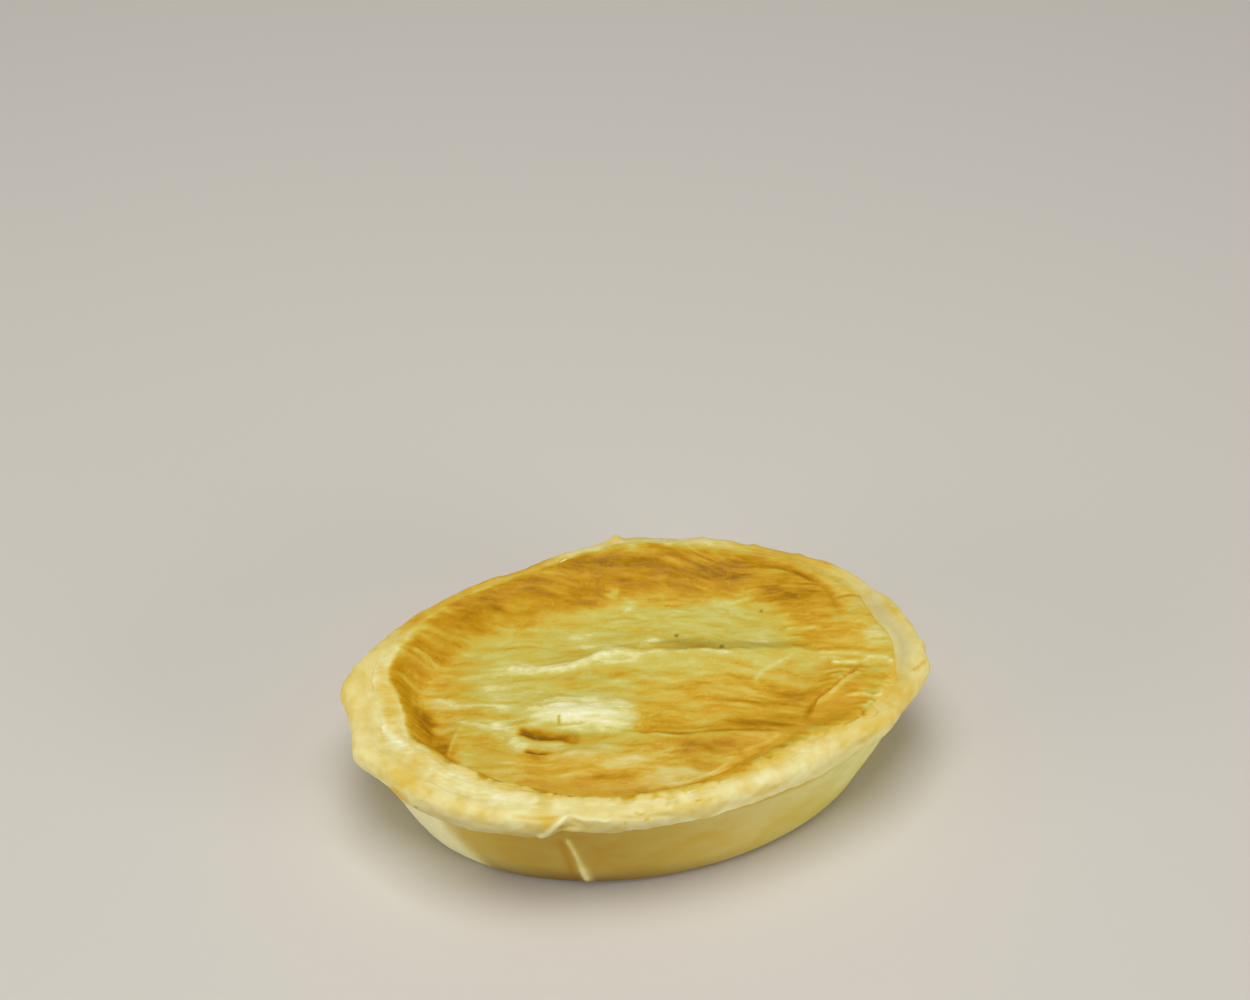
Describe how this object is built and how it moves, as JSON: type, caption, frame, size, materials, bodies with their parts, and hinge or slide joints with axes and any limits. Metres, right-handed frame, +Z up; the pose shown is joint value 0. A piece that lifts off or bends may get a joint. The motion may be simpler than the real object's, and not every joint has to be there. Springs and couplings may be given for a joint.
{
  "type": "oval meat pie",
  "caption": "Oval single-serve meat pie: a pale shortcrust case with a rolled, folded rim and a sunken, browned puff pastry lid.",
  "frame": {"origin": "middle of the flat base, under the middle of the pie's outline", "axes": "+X along the pie, towards the end where the lid's edge shows on the rim; +Z up; the pleated side of the case faces -Y"},
  "size_m": [0.1408, 0.089, 0.0337],
  "materials": {
    "shortcrust": "pale, waxy baked shortcrust, faintly browned on the rim",
    "puff_pastry": "glazed puff pastry, straw yellow to golden brown in streaks"
  },
  "bodies": {
    "root": {"pastry_case": "shortcrust", "pastry_lid": "puff_pastry"}
  },
  "joints": []
}
